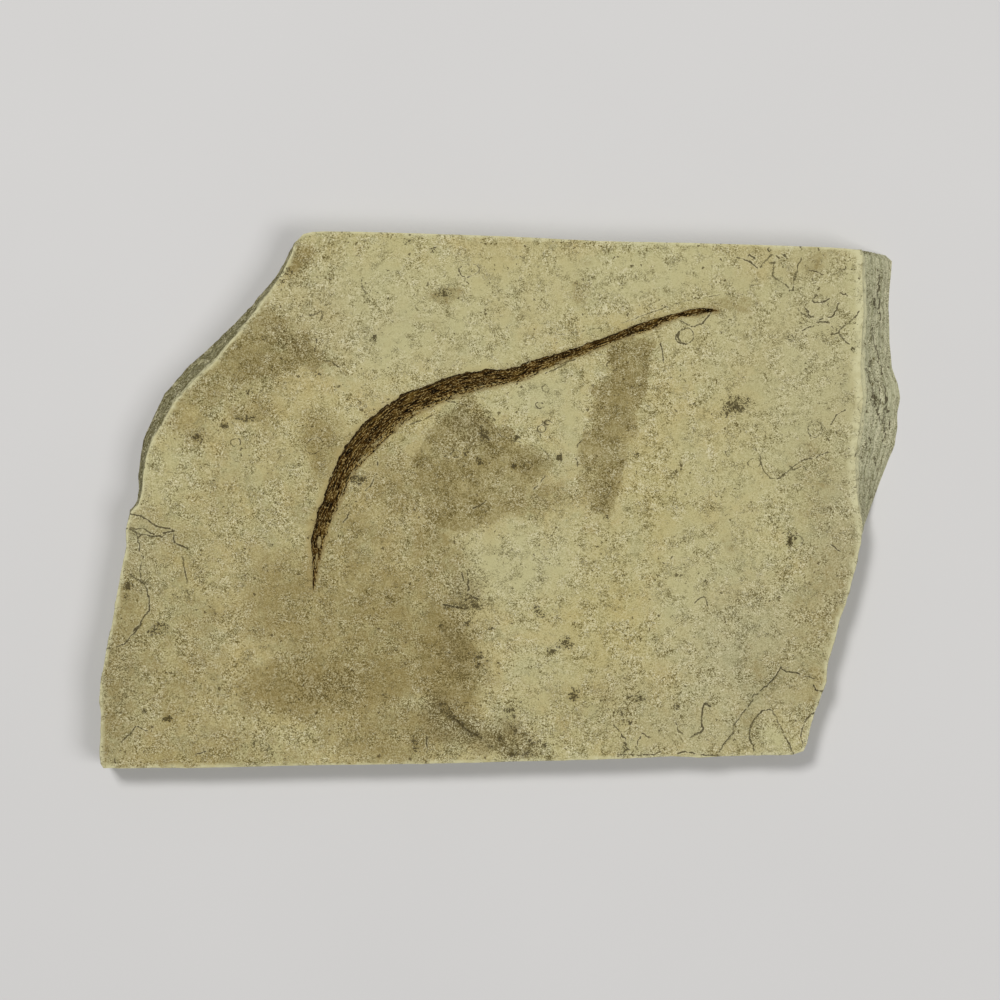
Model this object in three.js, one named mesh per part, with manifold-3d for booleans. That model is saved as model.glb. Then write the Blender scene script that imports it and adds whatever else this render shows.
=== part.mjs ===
// A fossil fish slab: one thin-bedded piece of buff limestone, sawn straight along two edges and broken
// along the others, with a long slender fish lying curved on its upper bedding plane.
//
// Millimetres, +Z up. The slab lies on its flat base at Z = 0 with the fish facing up and its long way
// along X. The origin is the middle of the base.
import * as THREE from 'three';
import { mergeVertices } from 'three/addons/utils/BufferGeometryUtils.js';
import Module from 'manifold-3d';

const wasm = await Module();
wasm.setup();

// Driving dimensions of the stone
const SLAB_THICKNESS = 11;
const BED_TOPS = [SLAB_THICKNESS, 9.4, 8.3, 7, 6, 4.6, 3.5, 2.3, 1.3];
const BED_OVERLAP = 0.2;
const BREAK_STEP = 5;
const CLEAN_BREAK_RAGGEDNESS = 0.12;
const ROUGH_BREAK_RAGGEDNESS = 0.3;
const CORNER_FLAKE_DEPTH = 0.8;
const LEFT_SPALL_DEPTH = 0.5;

// Driving dimensions of the fish
const FILM_THICKNESS = 0.35;
const FISH_RELIEF = 0.6;
const FISH_STEPS = 54;
const RIDGE_START = 0.14;
const RIDGE_END = 0.86;
const RIDGE_WIDTH_SHARE = 0.5;
const EYE_CENTRE = [-45.75, -10.5];
const EYE_HALF_WIDTH = 0.45;
const EYE_HALF_LENGTH = 1.3;
const CURVE_SEGMENTS = 6;

// The rim of the upper bed, clockwise seen from above, edge by edge. Each station is [x, y, leanX, leanY]:
// a place on the rim, and how far the edge has leaned out from there by the time it reaches the base.
const TOP_SAWN_EDGE = [
  [-49.6, 66.5, -0.5, 0.4], [-47.4, 67.05, -0.1, 0.3], [-43.9, 67.2, 0, 0.2], [-15.4, 66.5, 0, 0.2],
  [24.6, 64.75, 0, 0.2], [47.1, 64.3, 0, 0.2], [82.1, 63.2, 0, 0.2],
];
const RIGHT_FLARED_BREAK = [
  [89.8, 62.6, 8.0, -0.3], [90.1, 61, 9.2, -0.3], [90.2, 53.75, 8.4, 0], [90.6, 48.5, 7.8, 0],
  [90, 40, 8.6, 0], [89.8, 33.75, 9.5, 0], [90, 29.5, 10.8, 0], [90.3, 26, 11, 0], [90.1, 22.5, 10.6, 0],
  [89.7, 18.75, 11.5, 0], [88.8, 14, 11.2, 0], [88.5, 8.75, 9.4, 0], [88.6, 5, 7.7, 0],
  [88.9, 0.75, 5.8, 0], [89.6, -3, 3.9, 0], [90.3, -6.25, 2, 0],
];
const LOWER_RIGHT_BREAK = [
  [89.8, -10.75, 1, 0], [88.8, -15.5, 1, -0.2], [86.6, -24, 0.9, -0.3], [84.1, -31.5, 0.9, -0.3],
  [81.5, -41, 0.9, -0.2], [81.1, -45.5, 0.9, -0.2], [77.5, -56.2, 0.9, -0.3], [76.4, -61, 0.9, -0.3],
];
const BOTTOM_SAWN_EDGE = [
  [75.6, -62.8, 0.6, -0.4], [73.1, -63.7, 0.1, -0.3], [60.1, -64, 0, -0.2], [49.6, -64.4, 0, -0.2],
  [24.6, -64.9, 0, -0.2], [-25.4, -66.1, 0, -0.2], [-75.4, -67, 0, -0.2], [-99.6, -67.1, -0.2, -0.3],
];
const LEFT_BREAK = [
  [-100.4, -66, -0.7, 0], [-100.3, -55, -0.7, 0], [-100.7, -49.2, -0.7, 0], [-100.1, -44, -0.7, 0.1],
  [-98.6, -36.2, -0.8, 0.1], [-96.4, -24.2, -0.8, 0.1], [-95.1, -17, -0.8, 0.1], [-93.8, -12, -0.8, 0],
  [-94, -7.5, -0.8, 0.1],
];
const UPPER_LEFT_BREAK = [
  [-92.7, -3, -1.4, 0.6], [-90.9, -1.2, -1.8, 0.6], [-90, 2, -2.4, 0.5], [-88.9, 10.5, -2.8, 0.9],
  [-86.2, 17, -3.4, 1.7], [-81.8, 24.5, -3.7, 2.6], [-75.4, 31.4, -3.4, 3.4], [-70.2, 37, -3.1, 2.8],
  [-65.6, 42, -2.8, 2.3], [-58.9, 50.9, -2.1, 1.4], [-53.6, 59.2, -1.8, 0.8], [-51.8, 64.1, -1.1, 0.5],
];
const EDGES = [
  { stations: TOP_SAWN_EDGE, raggedness: 0 },
  { stations: RIGHT_FLARED_BREAK, raggedness: ROUGH_BREAK_RAGGEDNESS },
  { stations: LOWER_RIGHT_BREAK, raggedness: CLEAN_BREAK_RAGGEDNESS },
  { stations: BOTTOM_SAWN_EDGE, raggedness: 0 },
  { stations: LEFT_BREAK, raggedness: CLEAN_BREAK_RAGGEDNESS },
  { stations: UPPER_LEFT_BREAK, raggedness: ROUGH_BREAK_RAGGEDNESS },
];

// The corner flake has come off the upper bed round a tongue that still stands. Both outlines run out past
// the rim, so that the scar opens onto the edges.
const CORNER_FLAKE = [
  [53.4, -68], [54.1, -63.5], [57.7, -58.5], [58.2, -56], [62.7, -50.5], [62.9, -48.6], [66.8, -45.9],
  [69.9, -41.9], [71.1, -43], [73.8, -42.9], [75.4, -44], [78.3, -44.8], [78.6, -47.7], [86, -48],
  [86, -68],
];
const CORNER_TONGUE = [
  [63.4, -68], [63.2, -63.5], [62.1, -59], [62.3, -56.6], [65.6, -52.7], [67.3, -52.3], [69.8, -56.9],
  [71.8, -61], [72.6, -68],
];

// The thin spall along the left edge
const LEFT_SPALL = [
  [-99, -7.2], [-91.4, -8.5], [-90.6, -11.2], [-89.7, -15], [-90.4, -20], [-88.1, -21.2],
  [-87.6, -24.2], [-89.6, -30], [-94.4, -36.2], [-103, -38],
];

// The fish from snout to tail along the middle of its body, as [x, y, half width]
const FISH_BODY = [
  [-47, -22.5, 0.1], [-46.5, -16.2, 0.5], [-46.1, -13.5, 1], [-45.8, -10.3, 1.6], [-45.1, -7, 1.7],
  [-43.4, -2.2, 2], [-40.2, 5.5, 2.1], [-37.2, 10.7, 2.75], [-34.9, 13.7, 3.2], [-29.9, 18.7, 3.1],
  [-23.3, 23.5, 3.05], [-17.4, 26.3, 2.6], [-10.5, 28.8, 2.5], [0.1, 30.7, 1.9], [4.8, 31.6, 1.75],
  [10.7, 34.2, 1.4], [20.6, 37.6, 1.15], [28.2, 40.4, 0.9], [35, 43.1, 1.1], [41.4, 45.3, 0.75],
  [48, 46.8, 0.8], [51.4, 47.3, 0.6], [54.3, 47.3, 0.1],
];

// A repeatable run of numbers from 0 to 1
function makeRandom(seed) {
  let state = seed;
  return () => {
    state = (Math.imul(state, 1664525) + 1013904223) >>> 0;
    return state / 2 ** 32;
  };
}

// A closed three.js geometry as a solid that can be joined and cut
function toSolid(geometry) {
  geometry.deleteAttribute('normal');
  geometry.deleteAttribute('uv');
  const merged = mergeVertices(geometry);
  const mesh = new wasm.Mesh({
    numProp: 3,
    vertProperties: new Float32Array(merged.attributes.position.array),
    triVerts: new Uint32Array(merged.index.array),
  });
  return new wasm.Manifold(mesh);
}

// A finished solid as a named mesh with its own material
function toNamedMesh(solid, name, material) {
  const { vertProperties, triVerts } = solid.getMesh();
  const geometry = new THREE.BufferGeometry();
  geometry.setAttribute('position', new THREE.BufferAttribute(vertProperties, 3));
  geometry.setIndex(new THREE.BufferAttribute(triVerts, 1));
  geometry.computeVertexNormals();
  const mesh = new THREE.Mesh(geometry, material);
  mesh.name = name;
  return mesh;
}

// A flat plate between two heights
function plate(shape, bottom, top) {
  const geometry = new THREE.ExtrudeGeometry(shape, {
    depth: top - bottom,
    bevelEnabled: false,
    curveSegments: CURVE_SEGMENTS,
  });
  geometry.translate(0, 0, bottom);
  return toSolid(geometry);
}

function shapeThrough(corners) {
  return new THREE.Shape(corners.map(([x, y]) => new THREE.Vector2(x, y)));
}

// One bed's outline at a share of the way down, with its broken edges made ragged in small steps
function bedOutline(depthShare, seed) {
  const random = makeRandom(seed);
  const rim = EDGES.flatMap(({ stations, raggedness }) => stations.map((station) => ({
    place: new THREE.Vector2(station[0] + station[2] * depthShare, station[1] + station[3] * depthShare),
    raggedness,
  })));
  const outline = [];
  rim.forEach(({ place, raggedness }, index) => {
    const next = rim[(index + 1) % rim.length].place;
    const steps = raggedness > 0 ? Math.ceil(place.distanceTo(next) / BREAK_STEP) : 1;
    for (let step = 0; step < steps; step += 1) {
      const point = place.clone().lerp(next, step / steps);
      point.x += raggedness * (2 * random() - 1);
      point.y += raggedness * (2 * random() - 1);
      outline.push(point);
    }
  });
  return new THREE.Shape(outline);
}

// The slab: its beds joined into one stone, less the scars where thin flakes have come off the top
function makeSlab() {
  const beds = BED_TOPS.map((top, index) => {
    const below = BED_TOPS[index + 1];
    const bottom = below === undefined ? 0 : below - BED_OVERLAP;
    return plate(bedOutline(index / (BED_TOPS.length - 1), index + 1), bottom, top);
  });
  const stone = wasm.Manifold.union(beds);
  const clearTop = SLAB_THICKNESS + 1;
  const cornerFloor = SLAB_THICKNESS - CORNER_FLAKE_DEPTH;
  const flake = plate(shapeThrough(CORNER_FLAKE), cornerFloor, clearTop);
  const tongue = plate(shapeThrough(CORNER_TONGUE), cornerFloor - 1, clearTop + 1);
  const spall = plate(shapeThrough(LEFT_SPALL), SLAB_THICKNESS - LEFT_SPALL_DEPTH, clearTop);
  return stone.subtract(flake.subtract(tongue)).subtract(spall);
}

// A stretch of the fish, from one share of its length to another, at a share of its full width
function fishOutline(startShare, endShare, widthShare) {
  const body = new THREE.CatmullRomCurve3(FISH_BODY.map((station) => new THREE.Vector3(...station)));
  const steps = Math.round(FISH_STEPS * (endShare - startShare));
  const back = [];
  const belly = [];
  for (let step = 0; step <= steps; step += 1) {
    const share = startShare + (endShare - startShare) * (step / steps);
    const { x, y, z: halfWidth } = body.getPointAt(share);
    const along = body.getTangentAt(share).setZ(0).normalize();
    const reach = halfWidth * widthShare;
    back.push(new THREE.Vector2(x - along.y * reach, y + along.x * reach));
    belly.unshift(new THREE.Vector2(x + along.y * reach, y - along.x * reach));
  }
  return new THREE.Shape([...back, ...belly]);
}

// The fish: a thin pressed film with an eye hole, and the thicker ridge of its backbone and flanks
function makeFish() {
  const film = fishOutline(0, 1, 1);
  const eye = new THREE.Path();
  eye.absellipse(...EYE_CENTRE, EYE_HALF_WIDTH, EYE_HALF_LENGTH, 0, 2 * Math.PI);
  film.holes.push(eye);
  const ridge = fishOutline(RIDGE_START, RIDGE_END, RIDGE_WIDTH_SHARE);
  const underside = SLAB_THICKNESS;
  return plate(film, underside, underside + FILM_THICKNESS)
    .add(plate(ridge, underside, underside + FISH_RELIEF));
}

const limestone = new THREE.MeshStandardMaterial({ color: 0xa19870, roughness: 0.93, metalness: 0 });
const fossilFilm = new THREE.MeshStandardMaterial({ color: 0x524227, roughness: 0.6, metalness: 0 });

const fossilFishSlab = new THREE.Group();
fossilFishSlab.add(toNamedMesh(makeSlab(), 'slab', limestone));
fossilFishSlab.add(toNamedMesh(makeFish(), 'fish', fossilFilm));

export default fossilFishSlab;
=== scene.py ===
"""A fossil fish slab: a thin-bedded piece of buff limestone with one long slender fish on its upper face."""

import math

import bmesh
import bpy
import numpy as np
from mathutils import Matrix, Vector, noise


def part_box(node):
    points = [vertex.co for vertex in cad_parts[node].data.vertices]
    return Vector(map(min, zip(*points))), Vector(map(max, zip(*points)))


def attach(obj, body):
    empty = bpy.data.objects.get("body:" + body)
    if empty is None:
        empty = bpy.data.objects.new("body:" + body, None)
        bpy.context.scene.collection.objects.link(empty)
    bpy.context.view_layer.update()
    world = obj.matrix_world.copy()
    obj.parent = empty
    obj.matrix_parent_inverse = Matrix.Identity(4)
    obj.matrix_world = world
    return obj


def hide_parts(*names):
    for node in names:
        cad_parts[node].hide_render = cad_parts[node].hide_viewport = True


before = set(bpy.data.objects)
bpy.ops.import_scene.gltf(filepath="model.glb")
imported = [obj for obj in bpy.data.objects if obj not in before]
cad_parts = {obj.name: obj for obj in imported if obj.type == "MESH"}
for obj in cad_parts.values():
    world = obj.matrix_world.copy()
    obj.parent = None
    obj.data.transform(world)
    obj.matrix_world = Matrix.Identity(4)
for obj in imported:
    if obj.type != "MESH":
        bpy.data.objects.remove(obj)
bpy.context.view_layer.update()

# ------------------------------------------------------------------------------------------------------
# The slab's outline. The two long edges were cut with a saw and the ends are natural breaks, so the rim is
# straight along two sides and ragged along the others. Each run of the rim says how ragged it is, how far
# its beds stand out, how wide and deep its worn edge is, how wide the pale strip on that edge is (worn stone,
# partly a painted highlight on the rounded edge), and how much darker its wall is painted. Its stations are
# [x, y, lean x, lean y], in millimetres: a place on the rim of the upper face, and how far the edge has
# leaned out at the base.
MM = 0.001
RIM_STEP = 1.8
RIM_RUNS = [
    dict(name="top saw cut", ragged=0.05, beds=0.05, worn_width=0.35, worn_drop=0.2,
         pale_width=0.4, dark_wall_share=0.1, stations=[
        [-49.6, 66.5, -0.5, 0.4], [-47.4, 67.05, -0.1, 0.3], [-43.9, 67.2, 0, 0.2], [-30, 66.95, 0, 0.2],
        [-15.4, 66.5, 0, 0.2], [2.1, 65.9, 0, 0.2], [24.6, 64.75, 0, 0.2], [47.1, 64.3, 0, 0.2],
        [67.1, 63.7, 0, 0.2], [82.1, 63.2, 0, 0.2]]),
    dict(name="right flared break", ragged=0.15, beds=0.45, worn_width=0.7, worn_drop=0.15,
         pale_width=2.1, dark_wall_share=0, stations=[
        [89.6, 62.6, 8.0, -0.3], [90.1, 61, 9.2, -0.3], [90.2, 53.75, 8.4, 0], [90.6, 48.5, 7.8, 0],
        [90, 40, 8.6, 0], [89.8, 33.75, 9.5, 0], [90, 29.5, 10.8, 0], [90.3, 26, 11, 0],
        [90.1, 22.5, 10.6, 0], [89.6, 18.75, 11.2, 0], [88.8, 14, 11.2, 0], [88.5, 8.75, 9.4, 0],
        [88.6, 5, 7.7, 0], [88.9, 0.75, 5.8, 0], [89.6, -3, 3.9, 0], [90.3, -6.25, 2, 0]]),
    dict(name="lower right break", ragged=0.22, beds=0.4, worn_width=1.0, worn_drop=0.35,
         pale_width=0.9, dark_wall_share=0.1, stations=[
        [89.8, -10.75, 1, 0], [88.8, -15.5, 1, -0.2], [87.3, -21.5, 0.9, -0.3], [86.1, -26.2, 0.9, -0.3],
        [84.1, -31.5, 0.9, -0.3], [82.8, -36.5, 0.9, -0.3], [81.5, -41, 0.9, -0.2], [81.1, -45.5, 0.9, -0.2],
        [79.1, -51.2, 0.9, -0.3], [77.5, -56.2, 0.9, -0.3], [76.4, -61, 0.9, -0.3]]),
    dict(name="bottom saw cut", ragged=0.1, beds=0.05, worn_width=0.35, worn_drop=0.2,
         pale_width=0.4, dark_wall_share=0.1, stations=[
        [75.6, -62.8, 0.6, -0.4], [73.1, -63.7, 0.1, -0.3], [60.1, -64, 0, -0.2], [49.6, -64.4, 0, -0.2],
        [42.6, -64.1, 0, -0.2], [37.1, -64.4, 0, -0.2], [24.6, -64.9, 0, -0.2], [-0.4, -65.5, 0, -0.2],
        [-25.4, -66.1, 0, -0.2], [-50.4, -66.4, 0, -0.2], [-75.4, -67, 0, -0.2], [-99.6, -67.1, -0.2, -0.2]]),
    dict(name="left break", ragged=0.22, beds=0.4, worn_width=0.8, worn_drop=0.3,
         pale_width=0.7, dark_wall_share=0.35, stations=[
        [-100.4, -66, -0.6, 0], [-100.3, -58.7, -0.6, 0], [-100.1, -53.5, -0.6, 0], [-100.6, -49.2, -0.6, 0],
        [-100.1, -44.5, -0.7, 0.1], [-98.6, -36.2, -0.8, 0.1], [-97.4, -30.5, -0.8, 0.1],
        [-96.4, -24.2, -0.8, 0.1], [-95.1, -17, -0.8, 0.1], [-93.8, -12, -0.8, 0], [-94, -7.5, -0.8, 0.1]]),
    dict(name="upper left break", ragged=0.18, beds=0.5, worn_width=1.1, worn_drop=0.3,
         pale_width=0.65, dark_wall_share=1, stations=[
        [-92.7, -3, -1.4, 0.6], [-90.9, -1.2, -1.8, 0.6], [-90, 2, -2.4, 0.5], [-89.6, 6, -2.7, 0.6],
        [-88.9, 10.5, -2.8, 0.9], [-87.8, 14, -3.2, 1.4], [-86.2, 17, -3.4, 1.7], [-84.4, 20.2, -3.6, 2.2],
        [-81.8, 24.5, -3.7, 2.6], [-79, 27.7, -3.6, 3.0], [-75.4, 31.4, -3.4, 3.4], [-71.5, 34.7, -3.3, 3.4],
        [-70.2, 37, -3.1, 2.8], [-65.6, 42, -2.8, 2.3], [-61.3, 47.7, -2.3, 1.7], [-58.9, 50.9, -2.1, 1.4],
        [-55.6, 55.5, -1.9, 1.1], [-53.6, 59.2, -1.8, 0.8], [-52.6, 61.7, -1.6, 0.8],
        [-51.8, 64.1, -1.1, 0.5]]),
]
RUN_VALUES = ("ragged", "beds", "worn_width", "worn_drop", "pale_width", "dark_wall_share")
RAGGED, BED_REACH, WORN_WIDTH, WORN_DROP, PALE_WIDTH, DARK_WALL = range(4, 10)


def walk_rim():
    """The whole rim in small steps: x, y, lean x, lean y, then the six values of its run."""
    stations = [place + [run[value] for value in RUN_VALUES]
                for run in RIM_RUNS for place in run["stations"]]
    rim = []
    for here, there in zip(stations, stations[1:] + stations[:1]):
        here, there = np.array(here), np.array(there)
        steps = max(1, round(math.dist(here[:2], there[:2]) / RIM_STEP))
        rim += [here + (there - here) * step / steps for step in range(steps)]
    rim = np.array(rim)
    ahead = np.roll(rim, -1, axis=0)[:, :2] - np.roll(rim, 1, axis=0)[:, :2]
    outward = np.stack([-ahead[:, 1], ahead[:, 0]], axis=1) / np.linalg.norm(ahead, axis=1)[:, None]
    for index, (x, y) in enumerate(rim[:, :2].copy()):
        wander = noise.noise((x / 4, y / 4, 3.1)) + 0.8 * noise.noise((x / 1.6, y / 1.6, 7.7))
        rim[index, :2] += outward[index] * rim[index, RAGGED] * wander
    return rim, outward


rim, rim_outward = walk_rim()

# ------------------------------------------------------------------------------------------------------
# What the face has suffered. Thin flakes have come off along the edges, hairline cracks run in from the
# rim, and pits, small shell rings and mineral spots are scattered over it. All places are in millimetres.
FLAKE_SCARS = [
    dict(name="corner flake", depth=0.75, outline=[
        [53.4, -68], [54.1, -63.5], [55.9, -60.5], [57.7, -58.5], [58.2, -56], [59.9, -54], [61.6, -51.7],
        [62.7, -50.5], [62.9, -48.6], [63.8, -48.5], [66.8, -45.9], [68.7, -43.8], [69.9, -41.9], [71.1, -43],
        [72.6, -43.1], [73.8, -42.9], [75.4, -44], [76.6, -44], [78.3, -44.8], [78.2, -46.2], [78.6, -47.7],
        [86, -48], [86, -68]]),
    dict(name="left spall", depth=0.4, outline=[
        [-99, -7.2], [-93.4, -7.2], [-91.4, -8.2], [-90.9, -10], [-90.5, -12.7], [-89.8, -15], [-90.4, -17.5],
        [-90.2, -20.2], [-88.6, -22.4], [-88.2, -24.9], [-88.1, -27.4], [-89.8, -29.6], [-90.6, -31.6],
        [-91.8, -33.2], [-94.4, -36.2], [-103, -38]]),
]
TONGUE = [[63.4, -68], [63.3, -63.5], [62.8, -61.2], [62.1, -59], [62.3, -56.6], [63.9, -54.2], [65.4, -52.7],
          [67.3, -52.3], [68.7, -54.2], [69.8, -56.9], [70.6, -58.7], [71.8, -61], [73.5, -64.5], [73.5, -68]]
# A ledge is a shallow flake that drops along one line and fades back to the level of the face.
LEDGES = [
    dict(depth=0.3, fade=4.5, line=[[-95, -3.4], [-92, -3.6], [-91.2, -4.1], [-90, -4.1], [-87.9, -5.4],
                                    [-86.4, -6.6], [-84.5, -6.9], [-83.2, -7.1], [-81.8, -7.8], [-82, -9.4],
                                    [-81.7, -10.8], [-80.2, -11.4], [-78.4, -12.1]],
         back=[[-79, -16], [-86, -14], [-95, -12]]),
    dict(depth=0.2, fade=4, line=[[50.8, -50.9], [50.4, -52.5], [50, -54], [50, -55.2], [50.4, -57],
                                  [50, -58], [48.4, -58.6], [47.2, -59.3]],
         back=[[48, -64], [56, -62], [56, -52]]),
    dict(depth=0.22, fade=5, line=[[74.8, 63.6], [74.7, 60], [74.2, 58.5], [73.9, 57], [73.4, 55], [73, 53.2],
                                   [72.5, 52.1], [71.8, 52.6], [71.2, 53.6], [70.2, 54.5], [69.2, 54.9],
                                   [68.3, 55.3], [67.8, 56.4], [68, 57.6], [68.4, 59.3], [66.9, 59.2]],
         back=[[66.9, 63.6]]),
    dict(depth=0.15, fade=5, line=[[-9.4, 25], [-5.2, 23.2], [-2.6, 20.3], [4.9, 16], [11.4, 12]],
         back=[[9, 2], [-8, 8]]),
]
# Hairline cracks and the edges of thin flakes, then the faintest ones and the few that gape.
CRACKS = [
    [[-46.2, 40.2], [-47, 36.2]],
    [[-44.4, 35], [-42.5, 34.4], [-40.4, 33]],
    [[-35.4, 57.2], [-34.6, 53], [-33.1, 49.5]],
    [[39.6, 39.2], [40.2, 37], [40.5, 34.4]],
    [[44.8, 44.7], [47.6, 43.2], [50.3, 44.2], [51.6, 46], [52.4, 46.7]],
    [[58.5, 60.8], [60.3, 60.2], [62.5, 59.4], [64, 58]],
    [[61.8, 61.6], [62.6, 60.9], [63.4, 60.1]],
    [[67.4, 61.3], [68.4, 61.2], [69.1, 60.6]],
    [[70.2, 61.2], [70.9, 61.4], [71.2, 60.4]],
    [[73.9, 57.3], [73.2, 56], [72.6, 54.8]],
    [[76.9, 57.4], [78.5, 57], [80.2, 56.5]],
    [[77.5, 55.4], [78.2, 54.7]],
    [[83, 57.7], [85.5, 57.6], [86.3, 57.9]],
    [[84.9, 51.6], [85.5, 51.1], [86, 51.7], [86.4, 51]],
    [[77.5, 50], [78, 49.4], [79.5, 49.5], [81, 49.7], [82.3, 50.4]],
    [[78.2, 50.6], [78.7, 51.3], [79.4, 50.9]],
    [[74, 48.1], [74.3, 47.3], [75, 46.6], [76, 46.1], [76.7, 45.7]],
    [[76.6, 46.3], [77.3, 46], [78.1, 45.9]],
    [[79.5, 45.1], [81, 45.5], [83, 45.9], [83.6, 47.5], [84, 48.8], [84.6, 49.4]],
    [[75, 42.2], [76.2, 42.9], [77.5, 43.2], [78.6, 44.2], [80, 44.7], [81.5, 44.5], [82.3, 44.2],
     [82.9, 43]],
    [[82.3, 41.3], [83.5, 41.5], [84.2, 41.6], [84.8, 41.2], [85.6, 40.1], [86.4, 39.4], [87, 38.9]],
    [[84.4, 41.8], [84.6, 42.8], [85.5, 43.3], [87, 44.4], [88.2, 45.5], [89.4, 47.3]],
    [[64.3, 12], [65.5, 7.2], [67.3, 5.3], [69.6, 5.4], [71.7, 7.2], [74.3, 9.7], [78, 10.5], [81.6, 12]],
    [[71.5, 9], [73, 7.6], [75.4, 8.6], [76.4, 7.4]],
    [[82.3, -11], [84.6, -13]],
    [[82.3, 19], [83.6, 21], [85.9, 22.7]],
    [[90.8, 15], [89.4, 13], [88.2, 10.8]],
    [[-95, -60.5], [-93.2, -58.6], [-91.2, -56.5], [-88.4, -58]],
    [[-96.8, -64.2], [-96.1, -66.7]],
    [[-93.9, -66], [-89.9, -65.6]],
    [[-91.8, -7.2], [-90, -7.1], [-88.8, -7.6], [-87.8, -8.3], [-86.9, -8.5]],
    [[-93.2, -18.4], [-92.5, -18.8], [-91.8, -19.6], [-90.8, -20.2], [-90, -20.2]],
    [[-89.6, -20.6], [-88.1, -21.2]],
    [[-92, -32.6], [-91, -31.6]],
    [[-84.8, -8.2], [-83.6, -8.1], [-82.1, -7.9]],
    [[-83.8, -13], [-83, -12.7], [-82.4, -13.3], [-81.5, -12.8]],
    [[-83.2, -23.8], [-81.9, -23.7], [-81, -24.3]],
    [[-80.2, -14.2], [-79.6, -15], [-79.5, -16.5], [-79.2, -18], [-78.8, -19], [-78.7, -22.5], [-78.4, -23.2],
     [-77.4, -24.3]],
    [[-51.6, 45.5], [-49.1, 46.2], [-47.1, 46.2], [-45.1, 47.2], [-44.6, 46], [-45.6, 44.6]],
    [[79.8, -52.5], [77.6, -53.6], [76.1, -55], [75.3, -57.1], [74.8, -59.8]],
    [[75.1, -59.8], [75.6, -61.6]],
    [[-18.7, -59], [-18.8, -65.7]],
    [[-30.9, 9.7], [-31.4, 6.5], [-32.4, 4], [-34, 2.4]],
    [[-39.7, -5.7], [-37.9, -3]],
    [[-76.4, -63.5], [-73.8, -62.9]],
    [[-26.4, 17.3], [-28.4, 15.8], [-30.2, 14.1], [-31.9, 12.1]],
    [[-17.4, 21], [-20.4, 19.8], [-23.2, 18.7]],
    [[16.1, 34], [13.6, 32.7], [11.1, 31.7]],
    [[18.4, 35.2], [14.6, 33.9]],
    [[-8.7, -16.9], [-8.5, -19], [-8.3, -22.6]],
    [[-9.9, -18], [-9.8, -20]],
    [[-14.8, -26.1], [-12.8, -26.5], [-11, -26.9], [-8.5, -27.3]],
    [[-7.5, -2.1], [-6.2, -1.8], [-5, -1.2], [-4.2, -0.6]],
    [[-2.8, 0.5], [-1.4, 0.6]],
    [[9.9, 16.5], [9.8, 15.4]],
    [[11.8, 16.1], [12.6, 15]],
    [[48.4, -26], [49.1, -24.5], [50.4, -24], [51.1, -25], [51.6, -26.2]],
    [[27.8, -56.2], [28.6, -57], [29.8, -58], [30.3, -59.2], [31.2, -60], [31, -61.5], [32, -62.6]],
    [[33.8, -61.5], [34.4, -59.9], [35, -58.3], [35.6, -58.4], [36.4, -59.3], [37.4, -59.4]],
    [[43.3, -55.5], [43.8, -56.6], [44.3, -57.9], [45.2, -58.4], [46, -58.9]],
    [[50.9, -50.8], [52.3, -51.8]],
    [[28.5, -64.2], [30, -63.7], [31.5, -63.6], [32.5, -63.9], [35, -63.8], [37.4, -63.7], [40, -62.9]],
    [[44, -63.4], [45.5, -63], [46.8, -62.9], [48.2, -63.3], [50.3, -63.8], [53.6, -63.7]],
]
FAINT_CRACKS = [
    [[29.6, 44], [34.7, 45.9], [39.9, 47.7], [45, 49.6], [50.1, 50.6], [55.3, 51.4], [60.4, 51.2]],
    [[13.6, 41.3], [20, 42.2], [25, 43.2]],
    [[-14.6, 25], [-8.7, 23.7], [-4.6, 20], [-0.4, 16.2], [3.8, 14.6], [9.6, 13.3], [11.7, 11.2], [10.9, 5.8],
     [7.9, 2.5]],
    [[31.5, 12], [31.6, 11], [30, 10.4]], [[27.3, 3.4], [26.9, 1.6], [25.9, 0.4]],
]
OPEN_CRACKS = [
    [[64.9, 58.4], [65.7, 59.8], [66.6, 60.3], [67.2, 60.9]],
    [[76, 48], [76.5, 47.4], [76.5, 46.8]],
    [[-93.5, -7.2], [-92.4, -7], [-91.5, -8], [-90.6, -8.5], [-89.2, -8.8], [-87.4, -9.1], [-85.2, -9.1]],
    [[-12.2, -54.6], [-11, -55.5], [-9.5, -56.8], [-8, -57.9], [-6.3, -58.8]],
    [[-8.5, -23.5], [-7, -24.3], [-5.5, -25]],
    [[44.2, 42], [44, 40.8], [44.8, 39.4], [46.2, 38.9]],
    [[19.8, 14.8], [18.8, 13.2], [18.8, 11.9], [18.5, 10.2], [19, 8.6]],
]
# Lines that run down the flared wall at the right, where sheets of it have split away.
WALL_CRACKS = [
    [[90.8, 15.2], [91.6, 12.8], [92.1, 10.3]],
    [[96.4, 29.8], [97.4, 24], [98.3, 18.1]],
    [[92.5, 16], [93.6, 12], [95, 7.8]],
    [[93.6, 51.5], [94.2, 48.5], [95.2, 46.2]],
    [[95.4, 58], [95.2, 52], [96, 45]],
    [[93, 44], [94.4, 38], [96.2, 32]],
    [[91.6, 33], [93.4, 27], [95.6, 19]],
    [[94.6, 30], [96, 24], [97, 18], [96.4, 13]],
]
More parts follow.
